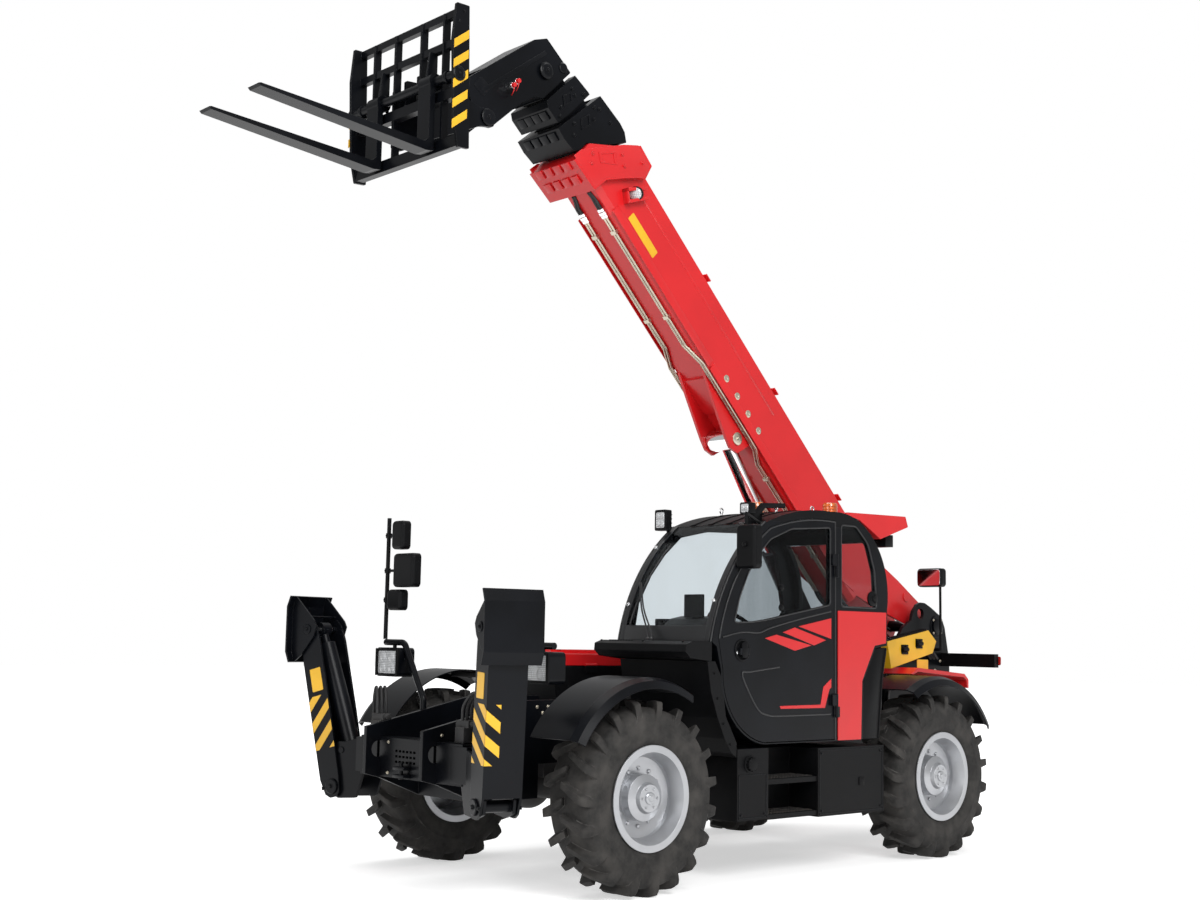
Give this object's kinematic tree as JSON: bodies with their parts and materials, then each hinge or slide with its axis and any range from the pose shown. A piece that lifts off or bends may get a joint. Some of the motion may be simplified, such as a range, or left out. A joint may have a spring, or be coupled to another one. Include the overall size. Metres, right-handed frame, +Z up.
{
  "type": "telescopic handler",
  "caption": "Four-wheel telescopic handler with a four-section boom raised, fork carriage, offset cab, side engine and front stabilizer legs.",
  "frame": {"origin": "centre of the part's box, on the ground", "axes": "+X forwards, towards the forks; +Y to the driver's left; +Z up"},
  "size_m": [7.1798, 2.6224, 5.9586],
  "materials": {
    "red_paint": "gloss",
    "black_paint": "satin",
    "yellow_paint": "satin",
    "silver_paint": "satin",
    "black_plastic": "matte",
    "tyre": "matte",
    "glass": "clear",
    "lamp": "gloss",
    "chrome": "polished",
    "seat": "woven",
    "cast": "rough",
    "pipe": "plated"
  },
  "bodies": {
    "chassis": {"chassis_frame": "black_paint", "counterweight": "cast", "stabilizer_beam": "black_paint", "front_axle": "black_paint", "rear_axle": "black_paint", "engine_block": "cast", "engine_pod": "black_paint", "cab_body": "black_paint", "cab_frame": "black_paint", "cab_roof": "black_plastic", "cab_quarter_panel": "red_paint", "cab_glass": "glass", "seat": "seat", "cab_controls": "black_plastic", "cowl": "black_plastic", "step_box": "black_paint", "roof_visor": "red_paint", "lamps": "lamp", "lamp_guards": "black_paint", "mirrors": "black_plastic", "rear_lights": "black_plastic", "rear_covers": "red_paint", "safety_prop": "yellow_paint"},
    "boom": {"boom_base": "red_paint", "boom_pipes": "pipe"},
    "second_section": {"boom_second": "black_paint"},
    "third_section": {"boom_third": "black_paint"},
    "head_section": {"boom_head": "black_paint"},
    "carriage": {"carriage_frame": "black_paint", "forks": "black_paint"},
    "lift_rod": {"lift_rod": "chrome"},
    "lift_barrel": {"lift_barrel": "black_paint"},
    "level_barrel": {"level_barrel": "black_paint"},
    "level_rod": {"level_rod": "chrome"},
    "tilt_barrel": {"tilt_barrel": "black_paint"},
    "tilt_rod": {"tilt_rod": "chrome"},
    "door": {"door": "black_paint", "door_glass": "glass"},
    "hood": {"engine_lid": "red_paint"},
    "knuckle_front_left": {"knuckle_front_left": "black_paint"},
    "wheel_front_left": {"tyre_front_left": "tyre", "rim_front_left": "silver_paint"},
    "knuckle_front_right": {"knuckle_front_right": "black_paint"},
    "wheel_front_right": {"tyre_front_right": "tyre", "rim_front_right": "silver_paint"},
    "knuckle_rear_left": {"knuckle_rear_left": "black_paint"},
    "wheel_rear_left": {"tyre_rear_left": "tyre", "rim_rear_left": "silver_paint"},
    "knuckle_rear_right": {"knuckle_rear_right": "black_paint"},
    "wheel_rear_right": {"tyre_rear_right": "tyre", "rim_rear_right": "silver_paint"},
    "leg_left": {"leg_left": "black_paint"},
    "pad_left": {"pad_left": "black_paint"},
    "leg_barrel_left": {"leg_barrel_left": "black_paint"},
    "leg_rod_left": {"leg_rod_left": "chrome"},
    "leg_right": {"leg_right": "black_paint"},
    "pad_right": {"pad_right": "black_paint"},
    "leg_barrel_right": {"leg_barrel_right": "black_paint"},
    "leg_rod_right": {"leg_rod_right": "chrome"}
  },
  "joints": [
    {"name": "steer_front_left", "type": "hinge", "parent": "chassis", "child": "knuckle_front_left", "pos_m": [1.00008, 0.82617, 0.62356], "axis": [0, 0, 1], "range_deg": [-30, 30]},
    {"name": "spin_front_left", "type": "hinge", "parent": "knuckle_front_left", "child": "wheel_front_left", "pos_m": [1.00008, 0.98617, 0.62356], "axis": [0, 1, 0], "continuous": true},
    {"name": "steer_front_right", "type": "hinge", "parent": "chassis", "child": "knuckle_front_right", "pos_m": [1.00008, -0.87383, 0.62356], "axis": [0, 0, 1], "range_deg": [-30, 30]},
    {"name": "spin_front_right", "type": "hinge", "parent": "knuckle_front_right", "child": "wheel_front_right", "pos_m": [1.00008, -1.03383, 0.62356], "axis": [0, 1, 0], "continuous": true},
    {"name": "steer_rear_left", "type": "hinge", "parent": "chassis", "child": "knuckle_rear_left", "pos_m": [-2.17991, 0.82617, 0.62356], "axis": [0, 0, 1], "range_deg": [-30, 30]},
    {"name": "spin_rear_left", "type": "hinge", "parent": "knuckle_rear_left", "child": "wheel_rear_left", "pos_m": [-2.17991, 0.98617, 0.62356], "axis": [0, 1, 0], "continuous": true},
    {"name": "steer_rear_right", "type": "hinge", "parent": "chassis", "child": "knuckle_rear_right", "pos_m": [-2.17991, -0.87383, 0.62356], "axis": [0, 0, 1], "range_deg": [-30, 30]},
    {"name": "spin_rear_right", "type": "hinge", "parent": "knuckle_rear_right", "child": "wheel_rear_right", "pos_m": [-2.17991, -1.03383, 0.62356], "axis": [0, 1, 0], "continuous": true},
    {"name": "boom_lift", "type": "hinge", "parent": "chassis", "child": "boom", "pos_m": [-3.39992, -0.06383, 1.79856], "axis": [0, -1, 0], "range_deg": [-45.5, 24]},
    {"name": "boom_slide_second", "type": "slide", "parent": "boom", "child": "second_section", "axis": [0.712, 0, 0.7022], "range_m": [0, 3.7]},
    {"name": "boom_slide_third", "type": "slide", "parent": "second_section", "child": "third_section", "axis": [0.712, 0, 0.7022], "range_m": [0, 3.7]},
    {"name": "boom_slide_head", "type": "slide", "parent": "third_section", "child": "head_section", "axis": [0.712, 0, 0.7022], "range_m": [0, 3.7]},
    {"name": "carriage_tilt", "type": "hinge", "parent": "head_section", "child": "carriage", "pos_m": [1.67992, -0.06383, 5.22093], "axis": [0, 1, 0], "range_deg": [-55, 60]},
    {"name": "lift_rod_swing", "type": "hinge", "parent": "boom", "child": "lift_rod", "pos_m": [-0.98068, -0.06383, 3.24047], "axis": [0, -1, 0], "range_deg": [-4.11, 2.17]},
    {"name": "lift_barrel_slide", "type": "slide", "parent": "lift_rod", "child": "lift_barrel", "axis": [-0.5759, 0, -0.8175], "range_m": [-0.82921, 0.43743]},
    {"name": "level_barrel_swing", "type": "hinge", "parent": "chassis", "child": "level_barrel", "pos_m": [-2.66992, -0.06383, 1.27856], "axis": [0, -1, 0], "range_deg": [-0.89, 0.47]},
    {"name": "level_rod_slide", "type": "slide", "parent": "level_barrel", "child": "level_rod", "axis": [-0.5226, 0, 0.8526], "range_m": [-0.27406, 0.14461]},
    {"name": "tilt_barrel_swing", "type": "hinge", "parent": "head_section", "child": "tilt_barrel", "pos_m": [1.13814, -0.06383, 5.71051], "axis": [0, 1, 0], "range_deg": [-4.59, 4.21]},
    {"name": "tilt_rod_slide", "type": "slide", "parent": "tilt_barrel", "child": "tilt_rod", "axis": [0.8791, 0, -0.4766], "range_m": [-0.13117, 0.14308]},
    {"name": "leg_left_swing", "type": "hinge", "parent": "chassis", "child": "leg_left", "pos_m": [1.99009, 0.79617, 0.59856], "axis": [-0.9736, 0.2284, 0], "range_deg": [-3.1, 108.9]},
    {"name": "leg_barrel_left_swing", "type": "hinge", "parent": "chassis", "child": "leg_barrel_left", "pos_m": [1.97753, 0.74262, 0.84556], "axis": [-0.9736, 0.2284, 0], "range_deg": [-3.33, 116.75]},
    {"name": "leg_rod_left_slide", "type": "slide", "parent": "leg_barrel_left", "child": "leg_rod_left", "axis": [0.0304, 0.1297, 0.9911], "range_m": [-0.0101, 0.35152]},
    {"name": "pad_left_swing", "type": "hinge", "parent": "leg_left", "child": "pad_left", "pos_m": [2.00367, 0.85408, 1.69695], "axis": [-0.9736, 0.2284, 0], "range_deg": [-30, 4.1]},
    {"name": "leg_right_swing", "type": "hinge", "parent": "chassis", "child": "leg_right", "pos_m": [1.99009, -0.84383, 0.59856], "axis": [0.9736, 0.2284, 0], "range_deg": [-14.3, 97.7]},
    {"name": "leg_barrel_right_swing", "type": "hinge", "parent": "chassis", "child": "leg_barrel_right", "pos_m": [1.97753, -0.79029, 0.84556], "axis": [0.9736, 0.2284, 0], "range_deg": [-15.05, 102.79]},
    {"name": "leg_rod_right_slide", "type": "slide", "parent": "leg_barrel_right", "child": "leg_rod_right", "axis": [0.0846, -0.3608, 0.9288], "range_m": [-0.05558, 0.37914]},
    {"name": "pad_right_swing", "type": "hinge", "parent": "leg_right", "child": "pad_right", "pos_m": [2.05213, -1.10835, 1.66448], "axis": [0.9736, 0.2284, 0], "range_deg": [-30, 15.3]},
    {"name": "door_swing", "type": "hinge", "parent": "chassis", "child": "door", "pos_m": [-0.91492, 1.14017, 1.69856], "axis": [0, 0, 1], "range_deg": [0, 80]},
    {"name": "hood_swing", "type": "hinge", "parent": "chassis", "child": "hood", "pos_m": [-0.58991, -0.40083, 1.43856], "axis": [-1, 0, 0], "range_deg": [0, 60]}
  ],
  "couplings": [
    {"joint": "steer_front_right", "follows": "steer_front_left", "ratio": 1},
    {"joint": "steer_rear_right", "follows": "steer_rear_left", "ratio": 1},
    {"joint": "boom_slide_third", "follows": "boom_slide_second", "ratio": 1},
    {"joint": "boom_slide_head", "follows": "boom_slide_second", "ratio": 1},
    {"joint": "lift_rod_swing", "follows": "boom_lift", "ratio": 0.09},
    {"joint": "lift_barrel_slide", "follows": "boom_lift", "m_per_rad": 1.0441},
    {"joint": "level_barrel_swing", "follows": "boom_lift", "ratio": 0.01935},
    {"joint": "level_rod_slide", "follows": "boom_lift", "m_per_rad": 0.34498},
    {"joint": "tilt_barrel_swing", "follows": "carriage_tilt", "ratio": -0.076269},
    {"joint": "tilt_rod_slide", "follows": "carriage_tilt", "m_per_rad": 0.13654},
    {"joint": "leg_barrel_left_swing", "follows": "leg_left_swing", "ratio": 1.072},
    {"joint": "leg_rod_left_slide", "follows": "leg_left_swing", "m_per_rad": 0.18489},
    {"joint": "leg_barrel_right_swing", "follows": "leg_right_swing", "ratio": 1.052},
    {"joint": "leg_rod_right_slide", "follows": "leg_right_swing", "m_per_rad": 0.22229}
  ]
}
